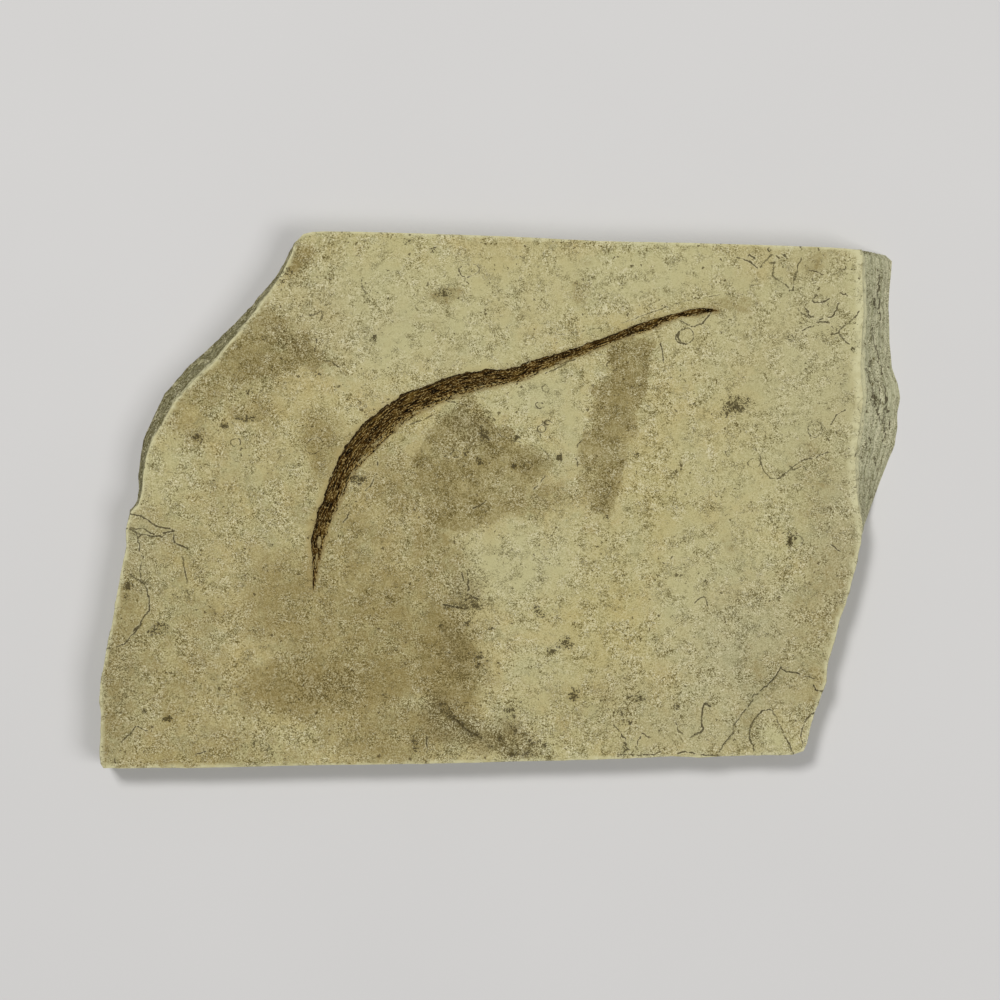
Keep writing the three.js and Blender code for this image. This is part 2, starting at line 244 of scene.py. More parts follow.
# Shell rings and curls: [x, y, half length, half width, turn in degrees, how much of the ring shows]
RINGS = [
    [45.9, 40.9, 2.3, 1.9, 20, 0.7], [-59.9, -61.4, 2.3, 1.1, -20, 0.6],
    [-66.6, 14.4, 1.3, 1.0, 0, 0.7], [73.6, -10.4, 1.7, 1.5, 0, 0.8],
    [-46.8, 13.6, 2.4, 1.8, 40, 0.6], [9.4, 23.8, 0.9, 0.9, 0, 0.8], [11, 27.9, 0.8, 1.0, 40, 0.6],
    [10, 17.9, 1.1, 0.9, 0, 0.8], [11.6, 19.3, 0.9, 0.6, 0, 0.7], [-11.5, 11.5, 1.2, 0.9, 0, 0.6],
    [-8.2, 57.5, 2.5, 1.6, 10, 0.5], [27.6, 33.5, 1.6, 0.9, -30, 0.7], [63.2, 9.2, 1.6, 1.2, 15, 0.5],
    [78.4, 17.6, 1.8, 2.0, 0, 0.5], [6.5, 8.6, 1.0, 1.0, 0, 0.5], [66.9, 62.7, 0.4, 0.4, 0, 0.8],
]
# Dark mineral spots: [x, y, half length, half width, turn in degrees, darkness]
SPOTS = [
    [58.6, 23.5, 3.6, 1.8, 28, 0.9], [56.6, 22.2, 2.6, 1.0, 25, 1.1], [72, -10.2, 0.6, 1.4, 0, 2.0],
    [73.5, -9.9, 0.5, 0.5, 0, 1.8], [16.1, -35.7, 2.0, 1.1, 15, 1.4], [12.6, -38, 1.0, 0.7, 10, 1.8],
    [18, -48.7, 1.4, 1.0, 60, 1.4], [-85, -32, 1.8, 1.5, 0, 0.75], [-87.3, -32.9, 0.9, 0.7, 0, 0.9],
    [-83.6, -54.7, 1.1, 0.7, 0, 1.5], [-89.1, -53, 0.8, 0.6, 0, 0.8], [-5.8, -39.1, 1.0, 0.6, 0, 1.8],
    [-5.7, -41.2, 0.9, 0.55, 0, 1.8], [-8, -39, 1.4, 0.4, 0, 0.6], [-3.4, -40, 1.2, 0.3, -25, 0.6],
    [3.7, 15.3, 0.8, 0.6, 10, 1.6], [14.3, 10.7, 0.8, 0.8, 0, 2.0], [3, 8.2, 0.7, 0.45, 0, 1.6],
    [51, -20.6, 0.6, 0.5, 0, 0.9], [-17.4, 62.7, 0.6, 0.5, 0, 0.9], [-14.4, 51.6, 2.2, 0.9, 0, 0.8],
    [-32.1, 40.7, 0.6, 0.6, 0, 1.6], [-3.1, 54, 0.6, 0.5, 0, 0.7], [-23.6, 64.7, 0.7, 0.5, 0, 0.8],
    [-76, 15.6, 1.1, 0.8, 0, 1.3], [-69.4, 18.7, 1.0, 0.7, 0, 1.2], [-63.4, 20.4, 3.0, 0.8, -4, 0.9],
    [-93.5, -21.5, 1.1, 0.9, 0, 1.4], [-93.8, -24, 0.7, 0.5, 0, 0.7], [88.3, 37.8, 0.4, 0.4, 0, 2.0],
    [87.9, 58.3, 0.5, 0.25, 70, 1.1], [71.7, 40.2, 0.35, 0.3, 0, 1.0], [81, 39.8, 0.5, 0.4, 0, 0.7],
    [-8, -24.3, 3.2, 0.8, -14, 0.75], [-7.4, -26.4, 2.8, 1.0, -8, 0.75], [-12, -26.7, 3.2, 0.5, -6, 0.6],
    [-8.3, -31, 1.0, 0.6, 10, 0.9], [-15, -31.2, 0.6, 0.5, 0, 0.8], [-2.8, -32.2, 0.6, 0.4, 20, 0.8],
    [-8.4, -50.3, 0.6, 0.4, 0, 0.9], [-10.2, -56, 3.8, 0.5, -36, 0.6], [-35, 5.2, 1.1, 0.6, -10, 1.5],
    [-13.8, -52.6, 2.6, 1.2, -50, 0.6], [-36.2, 5, 1.6, 1.4, 0, 0.5], [-6.6, -58.6, 2.4, 0.8, -25, 0.7],
    [-21.6, -60.4, 0.8, 2.2, 20, 0.5], [-21.8, -62.6, 1.2, 0.6, 0, 0.7], [2.6, -56, 1.2, 2.6, 10, 0.6],
    [1.8, -52.8, 1.8, 0.5, 8, 0.8], [-0.3, -59.3, 0.7, 0.5, 0, 0.8], [5.6, -58.6, 0.6, 0.5, -40, 0.8],
    [7.2, -60.4, 0.9, 0.5, -10, 0.8], [9.2, -60.3, 0.7, 0.4, 0, 0.9], [11, -61.2, 0.8, 0.5, 20, 0.9],
    [6.5, -63.4, 1.8, 1.0, 0, 0.8], [3, -63.4, 1.6, 0.7, 0, 0.7], [-3, -62, 1.6, 0.5, 0, 0.6],
    [-46.5, 31.5, 1.6, 0.5, -20, 0.6], [33.6, 11.2, 0.6, 0.4, 0, 0.8], [16.3, 10.8, 0.35, 0.35, 0, 0.8],
    [-5.5, 9.6, 0.6, 1.1, 20, 0.9], [-9.5, 8.7, 0.5, 0.6, 0, 0.8], [-14, 10.5, 0.35, 0.35, 0, 1.0],
    [-8.7, 12.6, 0.6, 1.6, -25, 0.7], [-4.4, 16.4, 1.2, 2.2, 20, 0.7], [-82.6, 30.5, 0.5, 0.5, 0, 0.6],
    [40.5, -3.8, 0.5, 0.4, 0, 0.7], [66.5, -33.5, 0.6, 0.5, 0, 0.6], [9.5, -28, 1.8, 0.9, -40, 0.7],
    [-63, 27, 1.0, 0.6, 20, 0.6], [25.8, -4.2, 0.5, 0.5, 0, 1.0], [-59.4, 40.7, 0.8, 0.6, 0, 0.7],
    [-55.2, 54.5, 1.0, 0.8, 30, 0.8], [-53.8, 57, 1.6, 0.9, 20, 0.7], [5.5, 60.2, 0.5, 0.4, 0, 0.6],
    [29.9, 52.8, 0.5, 0.4, 0, 0.7], [18.8, 54.2, 0.4, 0.5, 0, 0.6], [-71.8, -28.5, 0.6, 0.4, 0, 0.6],
    [34, -49.8, 2.6, 0.5, 0, 0.8], [30.3, -53, 0.7, 0.8, 0, 0.8], [39.5, -57.8, 0.3, 0.7, 0, 0.7],
    [43.8, -51.5, 0.5, 1.0, 20, 0.7], [31, -61.5, 0.7, 1.4, 0, 0.7], [32.3, -55.6, 0.7, 0.5, 0, 0.7],
]
# Pits in the flared wall, drawn only as dark spots of painted shade; the mesh has no hollows for them.
WALL_PIT_SHADE = [[93.8, 49.3, 0.7, 1.4, 10, 1.0], [93.8, 25.2, 1.0, 1.7, 5, 1.2], [92.7, 34.2, 0.6, 1.2, 0, 0.7],
             [96.2, 40.6, 0.4, 0.4, 0, 0.8]]


def segment_distances(points, line):
    """For each point, its distance to a broken line, and the place along it in whole and part segments."""
    line = np.array(line, float)
    nearest = np.full(len(points), 1e9)
    place = np.zeros(len(points))
    for index, (start, end) in enumerate(zip(line[:-1], line[1:])):
        run = end - start
        share = np.clip((points - start) @ run / (run @ run), 0, 1)
        distance = np.linalg.norm(points - start - share[:, None] * run, axis=1)
        closer = distance < nearest
        nearest = np.where(closer, distance, nearest)
        place = np.where(closer, index + share, place)
    return nearest, place


def inside(points, outline):
    """True for each point inside a closed outline."""
    found = np.zeros(len(points), bool)
    for (x0, y0), (x1, y1) in zip(outline, outline[1:] + outline[:1]):
        crosses = (y0 > points[:, 1]) != (y1 > points[:, 1])
        if y0 != y1:
            found ^= crosses & (points[:, 0] < (x1 - x0) * (points[:, 1] - y0) / (y1 - y0) + x0)
    return found


def ease(value, low, high):
    """0 below low, 1 above high, and a smooth change between them."""
    share = np.clip((value - low) / (high - low), 0, 1)
    return share * share * (3 - 2 * share)


def depth_inside(points, outline):
    """How far each point is inside a closed outline, and less than zero outside it."""
    distance = segment_distances(points, outline + outline[:1])[0]
    return np.where(inside(points, outline), distance, -distance)


def oval(points, x, y, half_length, half_width, turn):
    """1 on the edge of a turned oval, less inside it and more outside."""
    angle = math.radians(turn)
    along = (points[:, 0] - x) * math.cos(angle) + (points[:, 1] - y) * math.sin(angle)
    across = (points[:, 1] - y) * math.cos(angle) - (points[:, 0] - x) * math.sin(angle)
    return np.hypot(along / half_length, across / half_width)


def from_ring(points, shape):
    """For each point, its distance to the edge of a turned oval."""
    return np.abs(oval(points, *shape) - 1) * (shape[2] + shape[3]) / 2


def lumps(places, size, seed):
    """Smooth random relief from about -1 to 1, in lumps of about a size."""
    return np.array([noise.noise((x / size, y / size, z / size + seed)) for x, y, z in places])


def frayed(points, reach=0.35):
    """Points moved about at random over short distances, so that a line drawn with them comes out ragged."""
    places = np.column_stack([points, np.zeros(len(points))])
    moves = np.column_stack([lumps(places, 1.7, 31.0), lumps(places, 1.7, 37.0)])
    moves += 0.6 * np.column_stack([lumps(places, 0.6, 41.0), lumps(places, 0.6, 47.0)])
    return points + moves * reach


# ------------------------------------------------------------------------------------------------------
# The slab's mesh. The rim is filled with one face, which gets two thin rings along its edge and is cut into
# small square cells. The cells are cut finer along flakes, cracks, rings and spots. The rim is then drawn
# down to the base in many thin layers, and the base is closed with coarser cells.
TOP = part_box("slab")[1].z / MM
CELL = 1.0
BASE_CELL = 3.2
RIM_RING = 0.3
LONGEST_RIM_EDGE = 0.35
WALL_LAYERS = 28
# How near a line, ring or spot the cells are cut in half: once, twice and three times.
NEAR_LINE = (0.8, 0.45, 0.26)
NEAR_FISH = 4.5
SMALL_SPOT = 1.3
# The fish's own line, from snout to tail: [x, y, half width]
FISH_BODY = [
    [-47, -22.5, 0.1], [-46.8, -19.5, 0.42], [-46.5, -16.2, 0.68], [-46.1, -13.5, 1.15], [-45.8, -10.3, 1.6],
    [-45.1, -7, 1.7], [-43.4, -2.2, 2], [-41.9, 1, 2.1], [-40.2, 5.5, 2.2], [-37.2, 10.7, 2.75],
    [-34.9, 13.7, 3.1], [-32.2, 16.5, 3.2], [-29.9, 18.7, 3.1], [-27.6, 20.7, 3.0], [-23.3, 23.5, 3.0],
    [-17.4, 26.3, 2.6], [-10.5, 28.8, 2.5], [-4.6, 30.1, 2.2], [0.1, 30.7, 1.9], [4.8, 31.6, 1.75],
    [7.5, 33, 1.7], [10.7, 34.2, 1.4], [14.6, 35.5, 1.25], [20.6, 37.6, 1.15], [24.6, 39.1, 1.0],
    [28.2, 40.4, 0.9], [32.6, 42.2, 1.1], [37.5, 43.9, 1.1], [41.4, 45.3, 0.75], [44.5, 46.2, 0.6],
    [48, 46.9, 0.8], [51.4, 47.3, 0.6], [54.3, 47.3, 0.1],
]


def cut_cells(shape, cell, faces):
    """Cuts flat faces into square cells with parallel planes along X and then along Y."""
    for axis in (1, 0):
        normal = Vector((1 - axis, axis, 0))
        ahead = list(faces)
        done = []
        place = min(v.co[axis] for f in ahead for v in f.verts) + cell / 2
        end = max(v.co[axis] for f in ahead for v in f.verts)
        while place < end and ahead:
            parts = dict.fromkeys(part for f in ahead for part in (f, *f.edges, *f.verts))
            cut = bmesh.ops.bisect_plane(shape, geom=list(parts), dist=1e-5, plane_co=normal * place,
                                         plane_no=normal)
            cut_faces = [part for part in cut["geom"] if isinstance(part, bmesh.types.BMFace)]
            beyond = [f.calc_center_bounds()[axis] > place for f in cut_faces]
            done += [f for f, far in zip(cut_faces, beyond) if not far]
            ahead = [f for f, far in zip(cut_faces, beyond) if far]
            place += cell
        faces = done + ahead
    return faces


def plan(shape_verts):
    return np.array([v.co[:2] for v in shape_verts])


def near_detail(points, reach):
    """True for each point close enough to a line, ring or small spot to need finer cells."""
    points = frayed(points)
    near = np.zeros(len(points), bool)
    lines = CRACKS + FAINT_CRACKS + OPEN_CRACKS + [TONGUE]
    lines += [ledge["line"] for ledge in LEDGES] + [scar["outline"] for scar in FLAKE_SCARS]
    for line in lines:
        low, high = np.min(line, axis=0) - reach, np.max(line, axis=0) + reach
        inbox = np.all((points > low) & (points < high), axis=1)
        near[inbox] |= segment_distances(points[inbox], line)[0] < reach
    for *shape, _ in RINGS:
        near |= from_ring(points, shape) < reach
    small_spots = [spot for spot in SPOTS if spot[2] < SMALL_SPOT and reach > NEAR_LINE[-1]]
    for x, y, half_length, half_width, turn, _ in small_spots:
        near |= oval(points, x, y, half_length + reach / 2, half_width + reach / 2, turn) < 1
    return near


def keep_mesh(name, shape):
    mesh = bpy.data.meshes.new(name)
    shape.to_mesh(mesh)
    shape.free()
    return mesh


stone = bmesh.new()
face = stone.faces.new([stone.verts.new((x, y, TOP)) for x, y in rim[:, :2]])
for ring in range(2):
    bmesh.ops.inset_region(stone, faces=[face], thickness=RIM_RING, use_even_offset=True, use_boundary=True)
cut_cells(stone, CELL, stone.faces[:])
for reach in NEAR_LINE:
    verts = stone.verts[:]
    places = plan(verts)
    near = near_detail(places, reach)
    if reach == NEAR_LINE[0]:
        near |= segment_distances(places, [station[:2] for station in FISH_BODY])[0] < NEAR_FISH
    fine = {v for v, is_near in zip(verts, near) if is_near}
    fine_edges = [e for e in stone.edges if e.verts[0] in fine and e.verts[1] in fine and not e.is_boundary]
    bmesh.ops.subdivide_edges(stone, edges=fine_edges, cuts=1, use_grid_fill=True)
rim_edges = [e for e in stone.edges if e.is_boundary and e.calc_length() > LONGEST_RIM_EDGE]
bmesh.ops.subdivide_edges(stone, edges=rim_edges, cuts=1)
rim_edges = [e for e in stone.edges if e.is_boundary]
drawn = bmesh.ops.extrude_edge_only(stone, edges=rim_edges)["geom"]
drawn_verts = [part for part in drawn if isinstance(part, bmesh.types.BMVert)]
bmesh.ops.translate(stone, verts=drawn_verts, vec=(0, 0, -TOP))
uprights = [e for e in stone.edges if abs(e.verts[0].co.z - e.verts[1].co.z) > TOP / 2]
bmesh.ops.subdivide_edges(stone, edges=uprights, cuts=WALL_LAYERS - 1, use_grid_fill=True)
base_ring = [e for e in stone.edges if e.is_boundary]
base = bmesh.ops.contextual_create(stone, geom=base_ring)["faces"]
cut_cells(stone, BASE_CELL, base)
bmesh.ops.recalc_face_normals(stone, faces=stone.faces[:])
slab_mesh = keep_mesh("stone_slab", stone)

# ------------------------------------------------------------------------------------------------------
# The slab's relief. The face waves gently, drops at each flake scar and is worn round at the rim. The
# walls step out in thin beds on their way down, because the stone broke from bed to bed.
BEDS = 9
# The waves of the face: [height, size, seed]
WAVES = [[0.09, 34, 1.0], [0.06, 9, 5.0], [0.03, 2.4, 9.0]]
CRACK_DEPTH = 0.16
SPOT_DEPTH = 0.1


def face_relief(points):
    """How far the face stands above or below its level at each point, in millimetres."""
    places = np.column_stack([points, np.zeros(len(points))])
    points = frayed(points)
    height = sum(wave * lumps(places, size, seed) for wave, size, seed in WAVES)
    for scar in FLAKE_SCARS:
        drop = ease(depth_inside(points, scar["outline"]), -0.12, 0.14)
        if scar["name"] == "corner flake":
            drop *= 1 - ease(depth_inside(points, TONGUE), -0.2, 0.25) * 0.85
        height -= scar["depth"] * drop
    for ledge in LEDGES:
        outline = ledge["line"] + ledge["back"]
        step = ease(depth_inside(points, outline), -0.1, 0.12)
        reach = segment_distances(points, ledge["line"])[0]
        height -= ledge["depth"] * step * np.exp(-(reach / ledge["fade"]) ** 2)
    for line in CRACKS + OPEN_CRACKS:
        distance = segment_distances(points, line)[0]
        height -= CRACK_DEPTH * np.exp(-(distance / 0.2) ** 2)
    for *shape, _ in RINGS:
        ring = oval(points, *shape)
        height += 0.1 * np.exp(-((ring - 0.8) / 0.18) ** 2) - 0.12 * np.exp(-((ring - 1.05) / 0.12) ** 2)
    for *shape, darkness in SPOTS:
        height -= SPOT_DEPTH * darkness * (1 - ease(oval(points, *shape), 0.4, 1.1))
    return height


def bedding(depth_share, along, out):
    """How far a wall has leaned out at a depth, in steps that follow the beds."""
    drift = 0.35 * np.array([noise.noise((a / 22, 0, 2.0)) + 0.4 * noise.noise((a / 7, 3, 2.0))
                             for a in along])
    level = depth_share * BEDS + drift
    step = np.floor(level) + ease(level - np.floor(level), 0.4, 1.0)
    stepped = np.clip((step - drift) / BEDS, 0, 1)
    return np.where(out > 2, 0.5 * depth_share + 0.5 * stepped, depth_share)


def broken_beds(depth_share, along):
    """Relief of a broken wall, about -1 to 1: each bed and each layer in it breaks off at its own place."""
    relief = np.zeros(len(along))
    for beds, reach, strength in ((BEDS, 6.0, 0.6), (BEDS * 3, 2.6, 0.4)):
        drift = np.array([0.3 * noise.noise((a / 18, beds, 5.0)) for a in along])
        level = depth_share * beds + drift
        bed = np.floor(level)
        above = np.array([noise.noise((a / reach, k * 5.3, beds)) for a, k in zip(along, bed)])
        below = np.array([noise.noise((a / reach, (k + 1) * 5.3, beds)) for a, k in zip(along, bed)])
        relief += strength * (above + (below - above) * ease(level - bed, 0.7, 1.0)) * 1.6
    chips = np.column_stack([along, depth_share * TOP, np.zeros(len(along))])
    return relief + 0.3 * lumps(chips, 1.3, 8.0) + 0.2 * lumps(chips, 0.6, 6.0)


co = np.zeros(len(slab_mesh.vertices) * 3)
slab_mesh.vertices.foreach_get("co", co)
co = co.reshape(-1, 3)
on_top = co[:, 2] > TOP - 1e-3
between = (co[:, 2] <= TOP - 1e-3) & (co[:, 2] > 1e-3)
closed_rim = np.vstack([rim[:, :2], rim[:1, :2]])
rim_distance, rim_place = segment_distances(co[:, :2], closed_rim)
on_wall = between | ((co[:, 2] <= 1e-3) & (rim_distance < 0.002))
on_base = ~on_top & ~on_wall
whole = np.floor(rim_place).astype(int) % len(rim)
part = (rim_place - np.floor(rim_place))[:, None]
rim_facts = rim[whole] * (1 - part) + rim[(whole + 1) % len(rim)] * part
out_way = rim_outward[whole] * (1 - part) + rim_outward[(whole + 1) % len(rim)] * part
rim_run = np.concatenate([[0], np.cumsum(np.linalg.norm(np.diff(closed_rim, axis=0), axis=1))])
rim_along = np.interp(rim_place, np.arange(len(rim_run)), rim_run)

shaped = co.copy()
relief = face_relief(co[:, :2])
wear = rim_facts[:, WORN_DROP] * (1 - ease(rim_distance, 0, rim_facts[:, WORN_WIDTH])) ** 1.5
shaped[on_top, 2] += (relief - wear)[on_top]
depth_share = 1 - co[:, 2] / TOP
lean_reach = np.linalg.norm(rim_facts[:, 2:4], axis=1)
leaned = bedding(depth_share[on_wall], rim_along[on_wall], lean_reach[on_wall])
shaped[on_wall, :2] += rim_facts[on_wall, 2:4] * leaned[:, None]
wall_relief = broken_beds(depth_share[on_wall], rim_along[on_wall])
flared = ease(lean_reach[on_wall], 5, 8)
wall_relief *= 1 - 0.8 * flared * ease(depth_share[on_wall], 0.7, 0.8)
hold_ends = ease(depth_share[on_wall], 0, 0.06) * (1 - 0.7 * ease(depth_share[on_wall], 0.9, 1))
wall_relief = rim_facts[on_wall, BED_REACH] * wall_relief * hold_ends
shaped[on_wall, :2] += out_way[on_wall] * wall_relief[:, None]
top_drop = (relief - wear)[on_wall] * (1 - depth_share[on_wall])
shaped[on_wall, 2] += top_drop
base_places = co[on_base]
shaped[on_base, 2] += 0.1 + 0.08 * lumps(base_places, 11, 2.0) + 0.04 * lumps(base_places, 4, 3.0)
slab_mesh.vertices.foreach_set("co", (shaped * MM).ravel())

# ------------------------------------------------------------------------------------------------------
# The slab's colours. Iron and clay have stained the buff stone in clouds, and the masks below say where.
# Each is a number from 0 to 1 kept on the mesh, and the finish breaks it up with fine grain.
# The stains with a shape of their own: a broad one inside the fish's bend, a narrow one under its tail and
# one near the upper left corner. Each has the softness of its edge, in millimetres, and its strength.
STAINS = [
    dict(edge=1.4, strength=1, outline=[
        [-9.9, 26], [-5.4, 24.2], [-1.2, 19.2], [3.3, 15.2], [9.6, 13.4], [12.8, 9.5], [11.2, 5.5],
        [7.3, 2], [4.6, -0.5], [-1.7, -4.2], [-7.9, -8], [-14.2, -9.2], [-17.9, -5], [-19.2, 0], [-20.9, 5],
        [-21.9, 10], [-19.2, 15], [-16.4, 19], [-13.4, 22]]),
    dict(edge=1.2, strength=0.88, outline=[
        [25.8, 38.7], [32.1, 41.2], [38.3, 41.2], [38.3, 37], [35.8, 25], [34.1, 18.7], [30.8, 7.5],
        [27.6, -1.2], [25.3, -5], [22.1, -3], [20.8, 0], [19.1, 3.7], [18.8, 11.2], [20.8, 16.2],
        [22.6, 22.5], [24.1, 28.7], [25.1, 35]]),
    dict(edge=2.5, strength=0.85, outline=[
        [-61.5, 50], [-57, 48.5], [-52, 43.5], [-46, 39], [-39.5, 33.5], [-42, 31.5], [-50, 33], [-58, 31],
        [-68, 28], [-73, 32], [-66, 41]]),
]
# Soft clouds: [x, y, half length, half width, turn in degrees, strength]
BROWN_CLOUDS = [
    [-35.4, -15, 16, 22, 0, 0.58], [-50, -26, 20, 18, 0, 0.69], [-42, -45.5, 28, 10, 5, 1.0],
    [-14.2, -40, 10, 17, 10, 1.1], [62, -54.7, 3, 4, 0, 0.5], [-30, -32, 18, 22, 0, 0.75],
    [-26, 3, 9, 11, 0, 0.65], [-77.9, 18, 8, 7, 0, 0.5], [-62.9, 22, 8, 4.5, 0, 0.65],
    [-45, 14, 6.5, 9, 20, 0.78], [-60, 0, 26, 22, 0, 0.35], [8, -0.5, 13, 4, 10, 0.6],
    [-82, -20, 14, 26, 0, 0.44], [77.5, 59.5, 3.5, 3.5, 0, 0.5], [-70, -48, 20, 12, 0, 0.35],
    [-28, -58, 22, 10, 0, 0.7], [-17, 44, 5, 4, 0, 0.3], [-14.5, 51.6, 5, 2.6, 0, 0.7],
    [66, 22, 3.5, 2.5, 0, 0.35], [20, 53.5, 3, 5, 0, 0.4], [-80, 32, 5, 6, 0, 0.5],
    [-51.5, 61, 4.5, 4.5, 0, 0.85], [24, -6, 5, 4, 0, 0.25], [58, -9, 3, 9, 20, 0.25],
    [78, 3, 8, 18, 0, 0.36], [66, -44, 10, 9, 0, 0.4], [-75, -29, 9, 8, 0, 0.5],
    [56, 48.8, 8, 2.8, 8, 0.57], [-100, -40, 18, 44, 0, 0.6], [-84, -46, 22, 26, 0, 0.48],
    [-76, -66, 34, 12, 0, 0.52], [-77, 28, 14, 10, 40, 0.68], [-64, 30, 13, 9, 0, 0.5],
    [-54, 41, 11, 6, -35, 0.5], [-17, -13, 9, 14, 0, 0.65], [-30, 12, 8, 5, 50, 0.45],
    [82, -34, 12, 36, 0, 0.4], [24, -53, 30, 10, 0, 0.3],
]
DARK_CLOUDS = [
    [-5.4, -58.2, 16, 5, -8, 1.2], [-15.5, -53.5, 6, 8, 20, 1.1], [3.5, -61.5, 8, 5, -10, 1.1],
    [-9, -22.5, 5.5, 6, 0, 0.9], [-11.5, -37, 5, 11, 0, 0.8], [-8.4, 18, 6, 8, 35, 0.9],
    [-52, 39.5, 10, 2.6, -35, 0.75], [-6, -43, 3, 6, 0, 0.4], [30, -50, 6, 9, 0, 0.4],
    [-44, -47, 12, 4, 0, 0.6], [-60, 21.5, 3.5, 1.6, 0, 0.6], [-77, 16, 3, 2.5, 0, 0.5],
    [-95, -46, 5, 10, 0, 0.4], [58, 24, 4, 2.5, 0, 0.5], [-35.6, 4.4, 2.6, 2.0, 30, 0.5],
    [26, 2, 4, 5, 0, 0.3], [-58, -60, 12, 5, 0, 0.3], [-27.8, 21, 3, 3, 0, 0.3],
]
PALE_CLOUDS = [
    [-6.6, 50, 24, 13, 5, 0.8], [-30.4, 52.5, 13, 11, 0, 0.6], [-27, 38, 14, 6, 25, 0.8],
    [4.6, -15, 14, 9, 0, 0.9], [8, 25.6, 9, 5, 15, 1.0], [17.5, 18, 4, 12, -10, 0.6],
    [-9.2, -47, 5, 3, 0, 0.4], [60, 47, 14, 11, 10, 0.85], [46, -18, 7, 16, -8, 0.7],
    [64, 30, 18, 14, 0, 0.45], [33, 54, 24, 8, -5, 0.8], [88, 42, 2.4, 30, 0, 0.9], [86, 22, 5, 12, 0, 0.5],
    [10, -42, 9, 10, 0, 0.4], [-84, 8, 7, 12, 0, 0.4], [47, 8, 7, 18, 0, 0.4], [-60, 8, 12, 5, 0, 0.35],
    [0, 36, 14, 3, 15, 0.6], [67.5, -60, 3.4, 5, 0, 0.9], [74, 32, 22, 36, 0, 0.55],
    [47, 59, 16, 6, 0, 0.8], [20, 57, 16, 5, 0, 0.6], [0, -17, 16, 9, -10, 0.9], [47, 46, 16, 12, 0, 0.5],
    [60, 0, 12, 22, 0, 0.4],
]
OCHRE_CLOUDS = [
    [-1.6, 57.5, 19, 5, 0, 0.5], [41.3, 4, 9, 22, 5, 0.75], [24.6, -32.5, 13, 20, 0, 0.7],
    [-77, -63.7, 14, 2.5, 0, 0.6], [52, 49.2, 15, 3.2, 12, 1.2], [30, 43, 14, 2, 21, 0.5],
    [82, 54, 5, 4, 0, 0.5], [60, 20, 10, 20, 0, 0.35], [-22.5, 19.6, 8, 2.2, 35, 1.0],
    [-93, -18, 2.5, 3, 0, 0.8], [-31.5, 12.5, 4, 1.6, 48, 0.7], [-50, 22, 10, 8, 0, 0.3],
    [52, 40, 7, 5, 0, 0.4], [-46, -57, 12, 4, -10, 0.5],
]
GREY_CLOUDS = [
    [62.1, -37.5, 19, 22, 0, 0.9], [-98, -45, 9, 24, 0, 0.7], [-92, -14, 7, 14, 0, 0.8],
    [30, -49, 9, 9, 0, 0.4], [80, 32, 16, 40, 0, 0.85], [88, -2, 14, 50, 0, 0.95],
    [-38, 47, 24, 12, 0, 0.55], [60, 44, 12, 14, 0, 0.5], [52, -56, 20, 9, 0, 0.7],
    [-12, 37, 9, 4, 20, 0.4],
]


def swirled(points):
    """Points moved about in wide swirls, so that the edge of a stain drawn with them wanders."""
    places = np.column_stack([points, np.zeros(len(points))])
    swirl = np.column_stack([lumps(places, 6, 11.0), lumps(places, 6, 17.0)])
    swirl += 0.6 * np.column_stack([lumps(places, 2, 21.0), lumps(places, 2, 27.0)])
    return points + swirl * 2.4


def shade(points, marks, core, edge):
    """How strongly some turned ovals mark each point. Each fades out between its core and its edge."""
    return np.max([most * (1 - ease(oval(points, *shape), core, edge)) for *shape, most in marks], axis=0)


def nearest(points, lines):
    """For each point, its distance to the nearest of some broken lines."""
    return np.min([segment_distances(points, line)[0] for line in lines], axis=0)


def keep_mask(mesh, name, values):
    mesh.attributes.new(name, "FLOAT", "POINT").data.foreach_set("value", values.astype(np.float32))


face_places = co[:, :2]
frayed_places = frayed(face_places)
swirled_places = swirled(face_places)
on_face = on_top.astype(float)
stain = np.max([stain["strength"] * ease(depth_inside(swirled_places, stain["outline"]), -stain["edge"],
                                         stain["edge"]) for stain in STAINS], axis=0)
keep_mask(slab_mesh, "stain", stain * on_face)
clouds = dict(brown=BROWN_CLOUDS, dark=DARK_CLOUDS, grey=GREY_CLOUDS, pale=PALE_CLOUDS, ochre=OCHRE_CLOUDS)
for name, ovals in clouds.items():
    keep_mask(slab_mesh, name, shade(swirled_places, ovals, 0.3, 1.5) * on_face)

# The distance to the nearest line in millimetres. Bold lines are brought nearer, and faint ones set back.
BOLD, FAINT, GAP_IN_RING = 0.06, 0.09, 0.14
plain_lines = CRACKS + [TONGUE] + [scar["outline"] for scar in FLAKE_SCARS]
bold_lines = OPEN_CRACKS + [ledge["line"] for ledge in LEDGES[:3]]
from_line = np.minimum(nearest(frayed_places, plain_lines), nearest(frayed_places, FAINT_CRACKS) + FAINT)
from_line = np.minimum(from_line, nearest(frayed_places, bold_lines) - BOLD)
for *shape, shows in RINGS:
    from_line = np.minimum(from_line, from_ring(frayed_places, shape) + GAP_IN_RING * (1 - shows))
from_line = np.where(on_top, np.minimum(from_line, 1), 1)
wall_line = np.minimum(nearest(frayed(shaped[:, :2], 0.8), WALL_CRACKS) - BOLD, 1)
keep_mask(slab_mesh, "from_line", np.where(on_wall, wall_line, from_line))
spots = shade(frayed_places, SPOTS, 0.2, 1.5) * on_top
# On the walls the spots mask holds the pits of the flared wall, as painted shade.
keep_mask(slab_mesh, "spots", np.where(on_wall, shade(shaped[:, :2], WALL_PIT_SHADE, 0.3, 1.4), spots))
